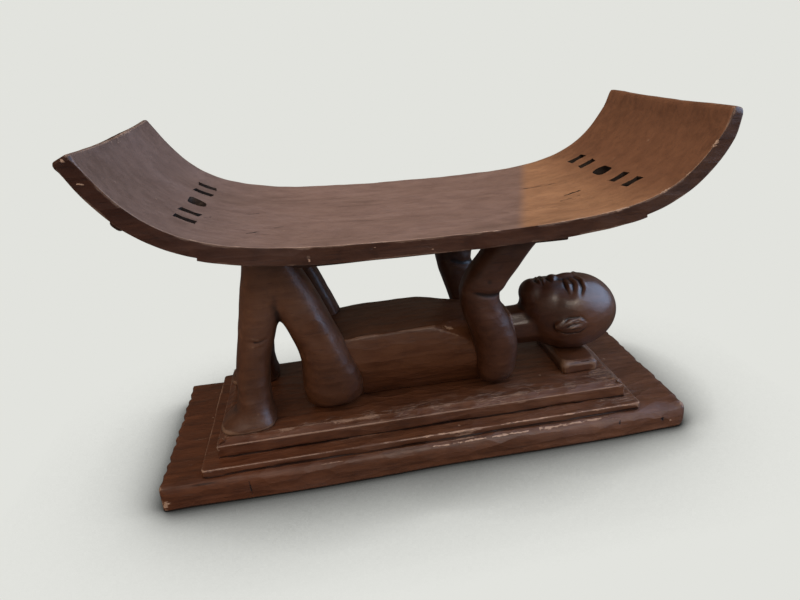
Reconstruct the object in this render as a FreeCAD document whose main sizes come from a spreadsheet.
import FreeCAD, Part
import Sketcher
import math
import os

from FreeCAD import Placement, Rotation, Vector

# Carved figure stool, millimetres. A figure lies on its back on a stepped base, its head
# towards +X, and carries a long seat with upswept ends on its knees and hands.
# +Z is up, the front is at -Y, and the origin is the middle of the base's underside.
# The figure's left side faces the front. Wooden pegs hold the carved pieces together.

SHEET = "Sizes"

BASE_SIZES = {
    "slab_length": 605, "slab_width": 227, "slab_thickness": 29,
    "slab_corner_round": 6, "slab_arris_round": 11,
    "flute_radius": 16, "flute_depth": 3, "flute_pitch": 17.4, "flute_overrun": 2,
    "middle_length": 502, "middle_width": 215, "middle_thickness": 9, "middle_shift": -8,
    "middle_corner_round": 4, "middle_arris": 1.2,
    "plinth_length": 473, "plinth_width": 178, "plinth_thickness": 20, "plinth_shift": -6,
    "plinth_bevel_inset": 8, "plinth_bevel_drop": 5,
}

SEAT_SIZES = {
    "seat_half_length": 313, "seat_width": 281.5, "seat_curve_shift": 3.2,
    "seat_under_height": 264.7, "seat_rise": 94.6, "seat_dish": 4,
    "seat_middle_thickness": 14.2, "seat_end_thicker": 2.6,
    "seat_corner_round": 5, "seat_rim_round": 3.5,
    "left_tip_out": 5.4, "left_tip_rise": 9.4, "left_crest_out": -10, "left_crest_rise": 16.4,
    "right_tip_out": 4.5, "right_tip_rise": 26.2,
    "right_crest_out": -6.5, "right_crest_rise": 28.5,
    "left_crest_dish": 5, "right_crest_dish": 3.5,
    "zone_end_distance": 95, "thick_zone_step": 2.6,
    "left_hole_distance": 71, "right_hole_distance": 73, "slot_length": 18, "slot_gap": 6.5,
    "slot_inner_y": 46, "slot_outer_y": 78, "hole_row_shift": 5,
    "centre_hole_length": 18.5, "centre_hole_width": 25,
    "centre_hole_round": 5, "pierce_depth": 50,
    "underplate_length": 284, "underplate_shift": 4, "underplate_width": 221,
    "underplate_underside": 251.5, "underplate_arris": 2, "underplate_let_in": 0.4,
    "rib_distance": 34, "rib_width": 14, "rib_proud": 8.5, "rib_let_in": 1.5, "rib_length": 258,
    "rib_round": 5,
}

FIGURE_SIZES = {
    "figure_fit": 0.3,
    "leg_toe_x": -241, "leg_reach": 163, "knee_let_in": 2.2, "leg_inner_y": 29,
    "leg_outer_y": 72,
    "arm_elbow_x": 36, "arm_reach": 110, "arm_inner_y": 36, "arm_outer_y": 82,
    "right_elbow_lift": 14, "right_arm_shift": -4, "limb_spare": 9,
    "torso_hip_x": -140, "torso_length": 248, "torso_half_width": 52, "torso_height": 86,
    "neck_length": 48, "neck_radius": 25, "neck_height": 112,
    "skull_x": 193, "skull_height": 120.3, "skull_half_length": 63, "skull_half_width": 45.5,
    "skull_half_depth": 49.3,
    "face_x": 164, "face_height": 130, "face_half_length": 37, "face_half_width": 36,
    "face_half_depth": 40,
    "chin_x": 145, "chin_height": 150, "chin_half_length": 18.5, "chin_half_width": 22,
    "chin_half_depth": 19.5,
    "nose_x": 184, "nose_height": 165, "nose_half_length": 18, "nose_half_width": 6.5,
    "nose_half_depth": 8,
    "mouth_x": 154, "mouth_height": 163.5, "mouth_half_length": 5.5, "mouth_half_width": 12,
    "mouth_half_depth": 9,
    "ear_x": 181, "ear_height": 119, "ear_half_length": 23, "ear_half_depth": 9,
    "ear_y": 43, "ear_half_width": 7,
    "headrest_x": 166, "headrest_length": 47, "headrest_width": 104, "headrest_height": 14,
    "headrest_round": 4,
}

PEG_SIZES = {
    "peg_fit": 0.1, "bore_end_gap": 0.6, "plinth_bore_depth": 13,
    "base_peg_radius": 5, "base_peg_x": 185, "base_peg_y": 62, "base_peg_slab_depth": 15,
    "torso_peg_radius": 5, "torso_peg_x": -14, "torso_peg_half_pitch": 36,
    "torso_peg_reach": 26,
    "foot_peg_radius": 4, "foot_peg_x": -203, "foot_peg_y": 54, "foot_peg_reach": 26,
    "hip_peg_radius": 5, "hip_peg_x": -113, "hip_peg_height": 100, "hip_peg_reach": 56,
    "shoulder_peg_radius": 5, "shoulder_peg_x": 80, "shoulder_peg_height": 92,
    "shoulder_peg_reach": 66,
    "neck_peg_radius": 6, "neck_peg_chest_depth": 24, "neck_peg_head_depth": 34,
    "knee_peg_radius": 4, "knee_peg_x": -169, "knee_peg_y": 50, "knee_peg_depth": 20,
    "knee_peg_rise": 5,
    "hand_peg_radius": 4, "hand_peg_x": 107, "hand_peg_y": 62, "hand_peg_depth": 18,
    "hand_peg_rise": 20,
    "underplate_peg_radius": 4, "underplate_peg_x": 62, "underplate_peg_y": 88,
    "underplate_peg_lift": 4, "underplate_peg_rise": 20,
    "headrest_peg_radius": 3, "headrest_peg_y": 36, "headrest_peg_reach": 8,
}

# Shares of the seat's rise that go with even powers of the distance from its middle.
SEAT_RISE_SHARES = {2: 0.090, 4: 0.409, 8: 0.501}
SEAT_CURVE_POINTS = 33
SEAT_STATION_SHARES = (-1, -0.5, 0, 0.5, 1)
FLUTES_PER_END = 12

# A limb is a run of rounded sections, each across the limb from one edge to the other. A row
# has both edges as shares of the limb's reach and height, then the section's inner and outer
# sides as shares of the limb's thickness.
SHIN_SHARES = [
    (0.010, 0.000, 0.374, 0.000, -0.02, 1.25), (0.004, 0.022, 0.374, 0.022, -0.02, 1.24),
    (0.050, 0.050, 0.367, 0.050, -0.03, 1.17), (0.112, 0.088, 0.360, 0.088, -0.05, 1.08),
    (0.134, 0.150, 0.357, 0.150, -0.08, 1.02), (0.150, 0.310, 0.380, 0.310, -0.14, 0.98),
    (0.202, 0.520, 0.460, 0.520, -0.16, 0.99), (0.252, 0.725, 0.540, 0.725, -0.16, 1.00),
    (0.295, 0.890, 0.572, 0.890, -0.16, 0.98), (0.319, 1.000, 0.564, 1.000, -0.14, 0.95),
]
THIGH_SHARES = [
    (0.640, 0.000, 0.905, 0.000, -0.16, 0.44), (0.598, 0.030, 0.965, 0.030, -0.16, 0.70),
    (0.578, 0.085, 0.992, 0.085, -0.16, 0.88), (0.576, 0.170, 0.986, 0.170, -0.16, 0.97),
    (0.582, 0.310, 0.926, 0.310, -0.16, 1.00), (0.552, 0.425, 0.872, 0.425, -0.16, 1.00),
    (0.480, 0.565, 0.800, 0.565, -0.16, 1.00), (0.370, 0.778, 0.681, 0.778, -0.12, 0.97),
    (0.400, 0.900, 0.600, 0.900, -0.06, 0.90), (0.420, 0.950, 0.545, 0.950, 0.04, 0.80),
]
ARM_SHARES = [
    (0.330, 0.000, 0.500, 0.000, -0.20, 0.08), (0.240, 0.030, 0.560, 0.030, -0.20, 0.42),
    (0.200, 0.090, 0.590, 0.090, -0.20, 0.74), (0.190, 0.180, 0.612, 0.180, -0.20, 0.92),
    (0.150, 0.330, 0.622, 0.330, -0.20, 1.00), (0.085, 0.450, 0.556, 0.450, -0.16, 1.00),
    (0.022, 0.580, 0.450, 0.570, 0.00, 0.97), (0.010, 0.670, 0.420, 0.635, 0.10, 0.95),
    (0.060, 0.750, 0.496, 0.700, 0.13, 0.96), (0.180, 0.850, 0.625, 0.800, 0.13, 0.97),
    (0.290, 0.935, 0.760, 0.900, 0.13, 0.98), (0.378, 1.000, 0.930, 1.000, 0.13, 0.98),
]
ELBOW_HEIGHT_SHARE = 0.65
KNEE_EDGE_SHARE = 0.315
SECTION_POINTS = 20
SECTION_POWER = 0.80

# Torso sections from hips to neck: place along the torso, widest half width, half width at
# the plinth, shoulder-line height, half width of the flat top, height of the flat top.
TORSO_SHARES = [
    (0.000, 0.80, 0.44, 0.72, 0.60, 0.76), (0.120, 0.96, 0.56, 0.92, 0.86, 0.94),
    (0.225, 1.00, 0.60, 0.96, 0.94, 0.98), (0.440, 1.00, 0.60, 0.975, 0.95, 1.00),
    (0.650, 1.00, 0.60, 0.965, 0.93, 1.00), (0.795, 1.00, 0.60, 0.72, 0.62, 0.95),
    (1.000, 0.92, 0.54, 0.66, 0.54, 0.92),
]
TORSO_BULGE_SHARE = 0.55
TORSO_SHOULDER_SHARE = 0.985

doc = FreeCAD.newDocument("CarvedStool")
sheet = doc.addObject("Spreadsheet::Sheet", SHEET)


def fill_sheet(groups):
    """Writes every driving dimension into a cell with its own alias."""
    row = 1
    for group in groups:
        for alias, value in group.items():
            sheet.set("A%d" % row, alias)
            sheet.set("B%d" % row, str(value))
            sheet.setAlias("B%d" % row, alias)
            row += 1
    doc.recompute()


fill_sheet([BASE_SIZES, SEAT_SIZES, FIGURE_SIZES, PEG_SIZES])


def size(alias):
    """Value of one named cell."""
    return float(sheet.get(alias))


def cell(formula):
    """Formula with each of its words turned into a reference to the sheet."""
    return " ".join("%s.%s" % (SHEET, w) if w[0].isalpha() else w for w in formula.split())


def bind(thing, **formulas):
    """Ties properties of an object to formulas of named sizes."""
    for name, formula in formulas.items():
        thing.setExpression(name.replace("__", "."), cell(formula))


PLINTH_TOP = "slab_thickness + middle_thickness + plinth_thickness"
plinth_top = size("slab_thickness") + size("middle_thickness") + size("plinth_thickness")


def rise_formula(place):
    """Formula of the height that the seat's underside gains at a place along X."""
    along = "( ( %s - seat_curve_shift ) / seat_half_length )" % place
    parts = ["%s * %s ^ %d" % (k, along, n) for n, k in SEAT_RISE_SHARES.items()]
    return "seat_rise * ( " + " + ".join(parts) + " )"


ZONE_UNDERSIDE = "seat_under_height - thick_zone_step"
KNEE_TOP = "%s + knee_let_in + %s" % (
    ZONE_UNDERSIDE, rise_formula("leg_toe_x + leg_reach * %s" % KNEE_EDGE_SHARE))
UNDERPLATE_TOP = "%s + underplate_let_in + %s" % (
    ZONE_UNDERSIDE, rise_formula("underplate_shift + underplate_length / 2"))


# Base tiers

def origin_plane(body, role):
    """Origin plane of a body, by its role."""
    return next(f for f in body.Origin.OriginFeatures if f.Role == role)


def level_sketch(body, name, height, shift):
    """Level sketch on the body's own origin plane, raised and moved along X."""
    sketch = body.newObject("Sketcher::SketchObject", name)
    sketch.AttachmentSupport = [(origin_plane(body, "XY_Plane"), "")]
    sketch.MapMode = "FlatFace"
    bind(sketch, AttachmentOffset__Base__x=shift, AttachmentOffset__Base__z=height)
    return sketch


def tie(sketch, constraint, name, formula):
    """Adds one named constraint and ties it to the sheet."""
    index = sketch.addConstraint(constraint)
    sketch.renameConstraint(index, name)
    bind(sketch, **{"Constraints__" + name: formula})


def draw_rectangle(sketch, length, width):
    """Rectangle about the sketch's origin, with its sides tied to two sizes."""
    half_x = size(length) / 2
    half_y = size(width) / 2
    corners = [Vector(-half_x, -half_y), Vector(half_x, -half_y),
               Vector(half_x, half_y), Vector(-half_x, half_y)]
    for i in range(4):
        sketch.addGeometry(Part.LineSegment(corners[i], corners[(i + 1) % 4]), False)
    for i in range(4):
        sketch.addConstraint(Sketcher.Constraint("Coincident", i, 2, (i + 1) % 4, 1))
    for i in (0, 2):
        sketch.addConstraint(Sketcher.Constraint("Horizontal", i))
        sketch.addConstraint(Sketcher.Constraint("Vertical", i + 1))
    sketch.addConstraint(Sketcher.Constraint("Symmetric", 0, 1, 2, 1, -1, 1))
    tie(sketch, Sketcher.Constraint("DistanceX", 0, 1, 0, 2, 2 * half_x), "length", length)
    tie(sketch, Sketcher.Constraint("DistanceY", 1, 1, 1, 2, 2 * half_y), "width", width)


def is_upright(edge):
    """True for a vertical edge."""
    span = edge.BoundBox
    return max(span.XLength, span.YLength) < span.ZLength / 10


def on_top(shape):
    """Test for the edges of a shape that lie in its top face."""
    top = shape.BoundBox.ZMax
    return lambda edge: edge.BoundBox.ZMin > top - edge.Length / 1000


def long_on_top(shape):
    """Test for the top edges that run along X."""
    level = on_top(shape)
    return lambda edge: level(edge) and edge.BoundBox.XLength > edge.BoundBox.YLength * 2


def edge_names(shape, wanted):
    """Names of the edges that a test accepts."""
    return ["Edge%d" % (i + 1) for i, edge in enumerate(shape.Edges) if wanted(edge)]


def dress(body, kind, wanted, **formulas):
    """Adds a Fillet or Chamfer on the edges of the body that a test accepts."""
    before = body.Tip
    feature = body.newObject("PartDesign::" + kind, kind)
    feature.Base = (before, edge_names(before.Shape, wanted))
    if len(formulas) > 1:
        feature.ChamferType = "Two distances"
    bind(feature, **formulas)
    doc.recompute()
    return feature


def tier(name, length, width, thickness, height, shift, corner_round=None):
    """Flat rectangular tier, with rounded upright corners if asked."""
    body = doc.addObject("PartDesign::Body", name)
    sketch = level_sketch(body, name + "_outline", height, shift)
    draw_rectangle(sketch, length, width)
    pad = body.newObject("PartDesign::Pad", "Pad")
    pad.Profile = sketch
    bind(pad, Length=thickness)
    doc.recompute()
    if corner_round:
        dress(body, "Fillet", is_upright, Radius=corner_round)
    return body


def make_slab():
    """Bottom slab: long top arrises rounded, both ends fluted with a gouge."""
    body = tier("slab_blank", "slab_length", "slab_width", "slab_thickness", "0", "0",
                "slab_corner_round")
    dress(body, "Fillet", long_on_top(body.Shape), Radius="slab_arris_round")
    sketch = level_sketch(body, "flutes", "- flute_overrun", "0")
    radius = size("flute_radius")
    first = size("flute_pitch") * (FLUTES_PER_END - 1) / 2
    out = size("slab_length") / 2 + radius - size("flute_depth")
    out_formula = "slab_length / 2 + flute_radius - flute_depth"
    for mark, sign, side in (("left", "- 1 *", -1), ("right", "1 *", 1)):
        centre = Vector(side * out, -first, 0)
        g = sketch.addGeometry(Part.Circle(centre, Vector(0, 0, 1), radius), False)
        tie(sketch, Sketcher.Constraint("Radius", g, radius), mark + "_r", "flute_radius")
        tie(sketch, Sketcher.Constraint("DistanceX", -1, 1, g, 3, centre.x), mark + "_x",
            "%s ( %s )" % (sign, out_formula))
        tie(sketch, Sketcher.Constraint("DistanceY", -1, 1, g, 3, centre.y), mark + "_y",
            "- flute_pitch * %d / 2" % (FLUTES_PER_END - 1))
    before = body.Shape.Volume
    pocket = body.newObject("PartDesign::Pocket", "Flute")
    pocket.Profile = sketch
    pocket.Reversed = True
    bind(pocket, Length="slab_thickness + 2 * flute_overrun")
    doc.recompute()
    row = body.newObject("PartDesign::LinearPattern", "Flutes")
    row.Originals = [pocket]
    row.Direction = (sketch, ["V_Axis"])
    row.Occurrences = FLUTES_PER_END
    bind(row, Length="flute_pitch * %d" % (FLUTES_PER_END - 1))
    body.Tip = row
    doc.recompute()
    if not body.Shape.Volume < before:
        raise RuntimeError("the flutes cut nothing")
    return body


def make_middle():
    """Thin middle step with its top arris just broken."""
    body = tier("middle_blank", "middle_length", "middle_width", "middle_thickness",
                "slab_thickness", "middle_shift", "middle_corner_round")
    dress(body, "Fillet", on_top(body.Shape), Radius="middle_arris")
    return body


def make_plinth():
    """Plinth under the figure, its top edge cut to a wide sloping bevel."""
    body = tier("plinth_blank", "plinth_length", "plinth_width", "plinth_thickness",
                "slab_thickness + middle_thickness", "plinth_shift")
    dress(body, "Chamfer", on_top(body.Shape), Size="plinth_bevel_drop",
          Size2="plinth_bevel_inset")
    return body


# Pegs and their bores

SIDES = (("left", "-"), ("right", ""))
ENDS = (("foot", "-"), ("head", ""))
ALONG_X = Rotation(Vector(0, 1, 0), 90)
ALONG_Y = Rotation(Vector(1, 0, 0), -90)


def peg(name, radius, length, x, y, z, turn=None):
    """Round peg and the bore it sits in; it stands upright unless turned."""
    rod = doc.addObject("Part::Cylinder", name)
    hole = doc.addObject("Part::Cylinder", name + "_bore")
    rotation = turn or Rotation()
    for item in (rod, hole):
        item.Placement = Placement(Vector(), rotation)
    bind(rod, Radius=radius, Height=length, Placement__Base__x=x, Placement__Base__y=y,
         Placement__Base__z=z)
    bind(hole, Radius=radius + " + peg_fit", Height=length + " + 2 * bore_end_gap")
    way = rotation.multVec(Vector(0, 0, 1))
    for axis, formula, part in (("x", x, way.x), ("y", y, way.y), ("z", z, way.z)):
        back = " - %d * bore_end_gap" % round(part)
        bind(hole, **{"Placement__Base__" + axis: formula + back})
    return rod, hole


def group(name, members):
    """One node that holds several separate pieces."""
    item = doc.addObject("Part::Compound", name)
    item.Links = members
    return item


def base_pegs():
    """Pegs that hold the three tiers of the base together."""
    long = "base_peg_slab_depth + middle_thickness + plinth_bore_depth"
    return {"base_pegs": [
        peg("base_peg_%s_%s" % (end, side), "base_peg_radius", long, sx + " base_peg_x",
            sy + " base_peg_y", "slab_thickness - base_peg_slab_depth")
        for end, sx in ENDS for side, sy in SIDES]}


def standing_pegs():
    """Pegs that stand in the plinth and hold the torso, the feet and the headrest."""
    foot = PLINTH_TOP + " - plinth_bore_depth"
    return {
        "torso_pegs": [
            peg("torso_peg_" + end, "torso_peg_radius", "plinth_bore_depth + torso_peg_reach",
                "torso_peg_x %s torso_peg_half_pitch" % (sx or "+"), "0", foot)
            for end, sx in ENDS],
        "foot_pegs": [
            peg("foot_peg_" + side, "foot_peg_radius", "plinth_bore_depth + foot_peg_reach",
                "foot_peg_x", sy + " foot_peg_y", foot) for side, sy in SIDES],
        "headrest_pegs": [
            peg("headrest_peg_" + side, "headrest_peg_radius",
                "plinth_bore_depth + headrest_peg_reach", "headrest_x + headrest_length / 2",
                sy + " headrest_peg_y", foot) for side, sy in SIDES],
    }


def body_pegs():
    """Level pegs through the hips and the shoulders and along the neck."""
    return {
        "hip_peg": [
            peg("hip_peg", "hip_peg_radius", "2 * hip_peg_reach", "hip_peg_x",
                "- hip_peg_reach", "hip_peg_height", ALONG_Y)],
        "shoulder_peg": [
            peg("shoulder_peg", "shoulder_peg_radius", "2 * shoulder_peg_reach",
                "shoulder_peg_x", "- shoulder_peg_reach", "shoulder_peg_height", ALONG_Y)],
        "neck_peg": [
            peg("neck_peg", "neck_peg_radius", "neck_peg_chest_depth + neck_peg_head_depth",
                "torso_hip_x + torso_length - neck_peg_chest_depth", "0", "neck_height",
                ALONG_X)],
    }


def seat_pegs():
    """Pegs that hold the seat on the knees, the hands and its underplate."""
    return {
        "knee_pegs": [
            peg("knee_peg_" + side, "knee_peg_radius", "knee_peg_depth + knee_peg_rise",
                "knee_peg_x", sy + " knee_peg_y", KNEE_TOP + " - knee_peg_depth")
            for side, sy in SIDES],
        "hand_pegs": [
            peg("hand_peg_" + side, "hand_peg_radius", "hand_peg_depth + hand_peg_rise",
                "hand_peg_x", sy + " hand_peg_y", "underplate_underside - hand_peg_depth")
            for side, sy in SIDES],
        "underplate_pegs": [
            peg("underplate_peg_%s_%s" % (end, side), "underplate_peg_radius",
                "underplate_peg_rise", sx + " underplate_peg_x", sy + " underplate_peg_y",
                "underplate_underside + underplate_peg_lift")
            for end, sx in ENDS for side, sy in SIDES],
    }


def make_pegs():
    """Every group of pegs by name: its node and its bores."""
    made = {}
    for groups in (base_pegs(), standing_pegs(), body_pegs(), seat_pegs()):
        for name, pairs in groups.items():
            rods = [rod for rod, hole in pairs]
            holes = [hole for rod, hole in pairs]
            node = group(name, rods) if len(rods) > 1 else rods[0]
            made[name] = (node, group(name + "_bores", holes))
    doc.recompute()
    return made


def bored(name, blank, pegs, groups):
    """Finished piece: a blank with the bores of some peg groups taken out."""
    holes = group(name + "_holes", [pegs[g][1] for g in groups])
    piece = doc.addObject("Part::Cut", name)
    piece.Base = blank
    piece.Tool = holes
    doc.recompute()
    return piece


# Seat

def seat_share(x):
    """Place along the seat's curve, as a share of the seat's half length."""
    return (x - size("seat_curve_shift")) / size("seat_half_length")


def under_point(x):
    """Point of the seat's underside above the thick zone's step, in the XZ plane."""
    along = seat_share(x)
    rise = size("seat_rise") * sum(k * along ** n for n, k in SEAT_RISE_SHARES.items())
    return Vector(x, 0, size("seat_under_height") + rise)


def zone_height(x):
    """Height of the thick zone's underside."""
    return under_point(x).z - size("thick_zone_step")


knee_top = size("knee_let_in") + zone_height(
    size("leg_toe_x") + size("leg_reach") * KNEE_EDGE_SHARE)
underplate_top = size("underplate_let_in") + zone_height(
    size("underplate_shift") + size("underplate_length") / 2)


def under_way(x):
    """Direction of the underside there, towards +X."""
    step = size("seat_half_length") / 1000
    return (under_point(x + step) - under_point(x - step)).normalize()


def under_normal(x):
    """Upward normal of the underside there."""
    way = under_way(x)
    return Vector(-way.z, 0, way.x)


def curve(points):
    """Smooth edge through points."""
    line = Part.BSplineCurve()
    line.interpolate(points)
    return line.toShape()


def straight(points):
    """Straight edges from point to point."""
    return [Part.LineSegment(a, b).toShape() for a, b in zip(points, points[1:])]


def spread(start, stop, count):
    """Evenly spaced values from start to stop."""
    return [start + (stop - start) * i / (count - 1) for i in range(count)]


def from_end(name):
    """Distance from the middle of a place that is measured from the seat's end."""
    return size("seat_half_length") - size(name)


def end_point(end, name, dish=0.0):
    """Corner of a seat end, measured from the end of the underside's curve."""
    root = under_point(end * size("seat_half_length"))
    return root + Vector(end * size(name + "_out"), 0, size(name + "_rise") - dish)


def seat_outline(across):
    """Closed outline of the seat at a share of its half width; the middle is dished."""
    half = size("seat_half_length")
    hollow = 1 - across * across
    dish = size("seat_dish") * hollow
    low = []
    top = []
    for x in spread(-half, half, SEAT_CURVE_POINTS):
        thick = size("seat_middle_thickness") + size("seat_end_thicker") * seat_share(x) ** 2
        low.append(under_point(x))
        top.append(under_point(x) + under_normal(x) * (thick - dish))
    right_crest = end_point(1, "right_crest", size("right_crest_dish") * hollow)
    left_crest = end_point(-1, "left_crest", size("left_crest_dish") * hollow)
    right = [low[-1], end_point(1, "right_tip"), right_crest, top[-1]]
    left = [top[0], left_crest, end_point(-1, "left_tip"), low[0]]
    edges = [curve(low)] + straight(right) + [curve(top[::-1])] + straight(left)
    wire = Part.Wire(edges)
    wire.translate(Vector(0, across * size("seat_width") / 2, 0))
    return wire


def thick_zone():
    """Extra layer under the seat's middle, as wide as the seat."""
    reach = from_end("zone_end_distance")
    drop = size("thick_zone_step")
    xs = spread(-reach, reach, SEAT_CURVE_POINTS)
    top = [under_point(x) + under_normal(x) * drop for x in xs]
    low = [under_point(x) - under_normal(x) * drop for x in xs]
    edges = [curve(low)] + straight([low[-1], top[-1]]) + [curve(top[::-1])]
    edges += straight([top[0], low[0]])
    face = Part.Face(Part.Wire(edges))
    face.translate(Vector(0, -size("seat_width") / 2, 0))
    return face.extrude(Vector(0, size("seat_width"), 0))


def box(x_lo, x_hi, y_lo, y_hi, z_lo, z_hi):
    """Box between two corners."""
    return Part.makeBox(x_hi - x_lo, y_hi - y_lo, z_hi - z_lo, Vector(x_lo, y_lo, z_lo))


def seat_plan():
    """Upright block with the seat's plan, its four corners rounded."""
    width = size("seat_width") / 2
    low = size("underplate_underside")
    left, right = end_point(-1, "left_tip"), end_point(1, "right_tip")
    block = box(left.x, right.x, -width, width, low, right.z + size("seat_rise"))
    return block.makeFillet(size("seat_corner_round"), [e for e in block.Edges if is_upright(e)])


def cutter(long, wide):
    """Upright block with the plan of a slot or a hole, about its own middle."""
    deep = size("pierce_depth")
    return Part.makeBox(long, wide, deep, Vector(-long / 2, -wide / 2, -deep / 2))


def pierced():
    """Slots and middle hole of both seat ends, square to the seat's slope."""
    shift = size("hole_row_shift")
    slot = cutter(size("slot_length"), size("slot_gap"))
    hole = cutter(size("centre_hole_length"), size("centre_hole_width"))
    hole = hole.makeFillet(size("centre_hole_round"), [e for e in hole.Edges if is_upright(e)])
    row = [(hole, 0), (slot, size("slot_inner_y")), (slot, size("slot_outer_y")),
           (slot, -size("slot_inner_y")), (slot, -size("slot_outer_y"))]
    tools = []
    for x in (-from_end("left_hole_distance"), from_end("right_hole_distance")):
        slope = Rotation(Vector(0, 0, 1), under_normal(x))
        for shape, y in row:
            tool = shape.copy()
            tool.Placement = Placement(under_point(x) + Vector(0, y + shift, 0), slope)
            tools.append(tool)
    return tools


def rib_frame(end):
    """Place of a rib: on the underside, its own Z pointing down and away from the seat."""
    x = end * from_end("rib_distance")
    return Placement(under_point(x), Rotation(Vector(0, 0, 1), under_normal(x) * -1))


def rib_bar(fit):
    """Rib bar in its own frame; a fit above zero gives the room that it lies in."""
    half = size("rib_width") / 2 + fit
    length = size("rib_length") / 2 + fit
    bar = Part.makeBox(2 * half, 2 * length, size("rib_proud") + size("rib_let_in"),
                       Vector(-half, -length, -size("rib_let_in")))
    if not fit:
        crown = [e for e in bar.Edges if e.BoundBox.ZMin > size("rib_proud") / 2]
        bar = bar.makeFillet(size("rib_round"), crown)
    return bar


def rib_groove(end):
    """Room for a rib under one end of the seat."""
    groove = rib_bar(size("figure_fit"))
    groove.Placement = rib_frame(end)
    return groove


def is_rim(edge):
    """True for the edges across both seat tips."""
    span = edge.BoundBox
    level = span.ZLength < span.YLength / 10
    return level and span.ZMin > end_point(-1, "left_tip").z - size("seat_rim_round")


def make_seat(peg_bores):
    """Dished seat with upswept ends, let in underneath for what carries it."""
    plate = Part.makeLoft([seat_outline(share) for share in SEAT_STATION_SHARES], True, False)
    plate = plate.makeFillet(size("seat_rim_round"), [e for e in plate.Edges if is_rim(e)])
    plate = plate.fuse(thick_zone())
    fit = size("figure_fit")
    shift = size("underplate_shift")
    reach = size("underplate_length") / 2 + fit
    width = size("underplate_width") / 2 + fit
    tools = [box(shift - reach, shift + reach, -width, width, size("underplate_underside"),
                 underplate_top)]
    tools += [mirrored(leg_part(SHIN_SHARES, fit), side) for side in (-1, 1)]
    tools += [rib_groove(end) for end in (-1, 1)]
    tools += pierced() + peg_bores
    return plate.common(seat_plan()).cut(tools)


def make_underplate():
    """Flat plate let into the seat's underside, over the figure's hands."""
    body = tier("underplate_blank", "underplate_length", "underplate_width",
                UNDERPLATE_TOP + " - underplate_underside", "underplate_underside",
                "underplate_shift", "underplate_arris")
    bottom = body.Shape.BoundBox.ZMin
    dress(body, "Chamfer", lambda edge: edge.BoundBox.ZMax < bottom + edge.Length / 1000,
          Size="underplate_arris")
    return body


# Figure

def section(edge_a, edge_b, y_lo, y_hi):
    """Closed rounded section between two edge points of the XZ plane, y_lo to y_hi thick."""
    middle = (edge_a + edge_b) / 2 + Vector(0, (y_lo + y_hi) / 2, 0)
    across = (edge_b - edge_a) / 2
    deep = Vector(0, (y_hi - y_lo) / 2, 0)
    points = []
    for i in range(SECTION_POINTS):
        turn = 2 * math.pi * i / SECTION_POINTS
        c = math.copysign(abs(math.cos(turn)) ** SECTION_POWER, math.cos(turn))
        s = math.copysign(abs(math.sin(turn)) ** SECTION_POWER, math.sin(turn))
        points.append(middle + across * c + deep * s)
    line = Part.BSplineCurve()
    line.interpolate(Points=points, PeriodicFlag=True)
    return Part.Wire([line.toShape()])


def limb(rows, start, reach, height, y_inner, y_outer, fit):
    """Solid through a limb's sections on the +Y side, its inner face cut flat."""
    thick = y_outer - y_inner
    wires = []
    for ax, az, bx, bz, inner, outer in rows:
        a = Vector(start + reach * ax, 0, plinth_top + height * az)
        b = Vector(start + reach * bx, 0, plinth_top + height * bz)
        grow = (b - a).normalize() * fit
        wires.append(section(a - grow, b + grow, y_inner + thick * inner - fit,
                             y_inner + thick * outer + fit))
    solid = Part.makeLoft(wires, True, False)
    spare = size("limb_spare") + fit
    low = plinth_top - spare
    waste = box(start - reach, start + 2 * reach, y_inner - spare - thick, y_inner, low,
                low + height + 2 * spare)
    return solid.cut(waste)


def mirrored(shape, side):
    """The shape itself for side +1 and its mirror image across the XZ plane for -1."""
    return shape if side > 0 else shape.mirror(Vector(), Vector(0, 1, 0))


def leg_part(rows, fit):
    """Shin or thigh on the +Y side."""
    return limb(rows, size("leg_toe_x"), size("leg_reach"), knee_top - plinth_top,
                size("leg_inner_y"), size("leg_outer_y"), fit)


def leg(fit):
    """Bent leg on the +Y side, from foot to knee and back to the hip."""
    return leg_part(SHIN_SHARES, fit).fuse(leg_part(THIGH_SHARES, fit))


def arm(side, fit):
    """Raised arm on the +Y side, from shoulder to palm; the right elbow stands higher."""
    lift = size("right_elbow_lift") if side > 0 else 0
    shift = size("right_arm_shift") if side > 0 else 0
    height = size("underplate_underside") - plinth_top
    rows = []
    for ax, az, bx, bz, inner, outer in ARM_SHARES:
        row = [ax, az, bx, bz, inner, outer]
        for i in (1, 3):
            share = row[i]
            if share < ELBOW_HEIGHT_SHARE:
                bump = share / ELBOW_HEIGHT_SHARE
            else:
                bump = (1 - share) / (1 - ELBOW_HEIGHT_SHARE)
            row[i] = share + bump * lift / height
        rows.append(row)
    return limb(rows, size("arm_elbow_x") + shift, size("arm_reach"), height,
                size("arm_inner_y"), size("arm_outer_y"), fit)


def torso_section(row):
    """Torso section across X: flat foot, bulging sides, sloping shoulders and flat top."""
    place, wide, foot, line, top_wide, top = row
    half = size("torso_half_width")
    tall = size("torso_height")
    x = size("torso_hip_x") + size("torso_length") * place
    zs = [plinth_top + tall * share for share in (0, line * TORSO_BULGE_SHARE, line, top)]
    right = [Vector(x, half * foot, zs[0]), Vector(x, half * wide, zs[1]),
             Vector(x, half * wide * TORSO_SHOULDER_SHARE, zs[2]), Vector(x, half * top_wide, zs[3])]
    left = [Vector(p.x, -p.y, p.z) for p in right]
    edges = [Part.LineSegment(left[0], right[0]), Part.Arc(right[0], right[1], right[2]),
             Part.LineSegment(right[2], right[3]), Part.LineSegment(right[3], left[3]),
             Part.LineSegment(left[3], left[2]), Part.Arc(left[2], left[1], left[0])]
    return Part.Wire([e.toShape() for e in edges])


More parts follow.
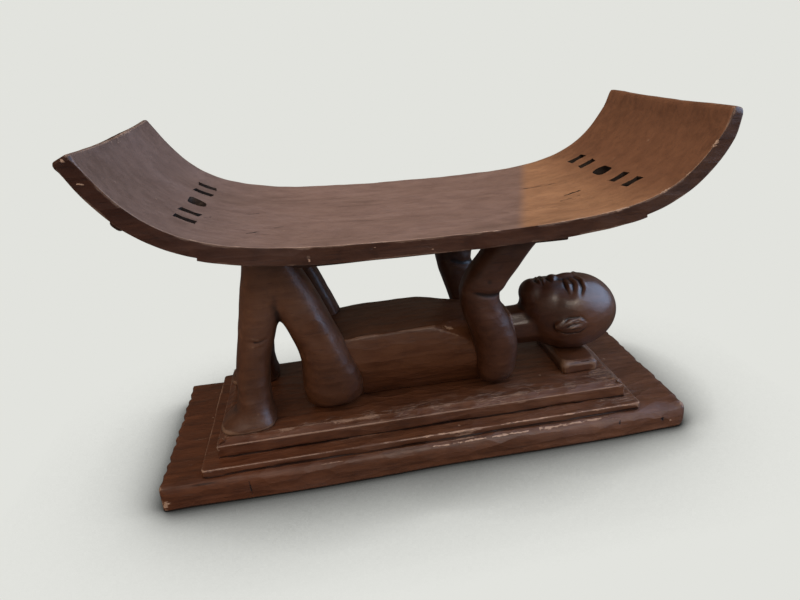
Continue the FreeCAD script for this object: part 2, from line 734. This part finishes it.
def make_torso(peg_bores):
    """Flat-topped torso, scribed to the legs and arms with a small fit."""
    torso = Part.makeLoft([torso_section(row) for row in TORSO_SHARES], True, True)
    fit = size("figure_fit")
    tools = []
    for side in (-1, 1):
        tools += [mirrored(leg(fit), side), mirrored(arm(side, fit), side)]
    return torso.cut(tools + peg_bores)


def ellipsoid(name, x, y, z, half_length, half_width, half_height):
    """Ellipsoid placed and sized by formulas."""
    item = doc.addObject("Part::Ellipsoid", name)
    bind(item, Radius1=half_height, Radius2=half_length, Radius3=half_width,
         Placement__Base__x=x, Placement__Base__y=y, Placement__Base__z=z)
    return item


def make_head():
    """Head and neck in one piece: skull, face, chin, nose, lips and ears."""
    parts = [
        ellipsoid("skull", "skull_x", "0", "skull_height", "skull_half_length",
                  "skull_half_width", "skull_half_depth"),
        ellipsoid("face", "face_x", "0", "face_height", "face_half_length",
                  "face_half_width", "face_half_depth"),
        ellipsoid("chin", "chin_x", "0", "chin_height", "chin_half_length",
                  "chin_half_width", "chin_half_depth"),
        ellipsoid("nose", "nose_x", "0", "nose_height", "nose_half_length",
                  "nose_half_width", "nose_half_depth"),
        ellipsoid("lips", "mouth_x", "0", "mouth_height", "mouth_half_length",
                  "mouth_half_width", "mouth_half_depth"),
    ]
    for side, sign in SIDES:
        parts.append(ellipsoid("ear_" + side, "ear_x", sign + " ear_y", "ear_height",
                               "ear_half_length", "ear_half_width", "ear_half_depth"))
    neck = doc.addObject("Part::Cylinder", "neck")
    neck.Placement = Placement(Vector(), Rotation(Vector(0, 1, 0), 90))
    bind(neck, Radius="neck_radius", Height="neck_length",
         Placement__Base__x="torso_hip_x + torso_length", Placement__Base__z="neck_height")
    blank = doc.addObject("Part::MultiFuse", "head_blank")
    blank.Shapes = parts + [neck]
    doc.recompute()
    return blank


def make_headrest():
    """Low block under the head, hollowed to the skull with a small fit."""
    body = tier("headrest_block", "headrest_length", "headrest_width", "headrest_height",
                PLINTH_TOP, "headrest_x + headrest_length / 2", "headrest_round")
    dress(body, "Fillet", on_top(body.Shape), Radius="headrest_round")
    room = ellipsoid("skull_room", "skull_x", "0", "skull_height",
                     "skull_half_length + figure_fit", "skull_half_width + figure_fit",
                     "skull_half_depth + figure_fit")
    blank = doc.addObject("Part::Cut", "headrest_blank")
    blank.Base = body
    blank.Tool = room
    doc.recompute()
    return blank


# Assembly

def carved(name, shape, place=Placement()):
    """Piece whose shape is carved by the code above, then put in its place."""
    piece = doc.addObject("Part::Feature", name)
    piece.Shape = shape
    piece.Placement = place
    return piece


def bores(pegs, *groups):
    """Bore solids of some peg groups."""
    return [solid for g in groups for solid in pegs[g][1].Shape.Solids]


def build():
    """Every finished piece of the stool."""
    pegs = make_pegs()
    pieces = [pair[0] for pair in pegs.values()]
    pieces += [
        bored("base_slab", make_slab(), pegs, ["base_pegs"]),
        bored("base_middle_step", make_middle(), pegs, ["base_pegs"]),
        bored("base_plinth", make_plinth(), pegs,
              ["base_pegs", "torso_pegs", "foot_pegs", "headrest_pegs"]),
        bored("headrest", make_headrest(), pegs, ["headrest_pegs"]),
        bored("head", make_head(), pegs, ["neck_peg"]),
        bored("seat_underplate", make_underplate(), pegs, ["hand_pegs", "underplate_pegs"]),
        carved("torso", make_torso(bores(pegs, "torso_pegs", "hip_peg", "shoulder_peg",
                                         "neck_peg"))),
        carved("seat", make_seat(bores(pegs, "knee_pegs", "hand_pegs", "underplate_pegs"))),
        carved("left_end_rib", rib_bar(0), rib_frame(-1)),
        carved("right_end_rib", rib_bar(0), rib_frame(1)),
    ]
    leg_bores = bores(pegs, "foot_pegs", "knee_pegs", "hip_peg")
    arm_bores = bores(pegs, "hand_pegs", "shoulder_peg")
    for name, side in (("left", -1), ("right", 1)):
        pieces.append(carved(name + "_leg", mirrored(leg(0), side).cut(leg_bores)))
        pieces.append(carved(name + "_arm", mirrored(arm(side, 0), side).cut(arm_bores)))
    doc.recompute()
    return pieces


def check(pieces):
    """Stops if anything in the document failed or a piece is not a sound solid."""
    for item in doc.Objects:
        if "Invalid" in item.State or "Error" in item.State:
            raise RuntimeError("%s failed: %s" % (item.Label, item.State))
    for piece in pieces:
        shape = piece.Shape
        if shape.isNull() or not shape.isValid():
            raise RuntimeError("%s is not a valid shape" % piece.Label)
        wanted = len(piece.Links) if piece.TypeId == "Part::Compound" else 1
        if len(shape.Solids) != wanted:
            raise RuntimeError("%s has %d solids" % (piece.Label, len(shape.Solids)))


def write(pieces):
    """Writes one STEP file for each piece."""
    os.makedirs("parts", exist_ok=True)
    for piece in pieces:
        piece.Shape.exportStep("parts/%s.step" % piece.Label)
        box_of = piece.Shape.BoundBox
        print("%-18s volume %9.0f  x %7.1f %7.1f  y %7.1f %7.1f  z %6.1f %6.1f" % (
            piece.Label, piece.Shape.Volume, box_of.XMin, box_of.XMax, box_of.YMin,
            box_of.YMax, box_of.ZMin, box_of.ZMax))


finished = build()
check(finished)
write(finished)
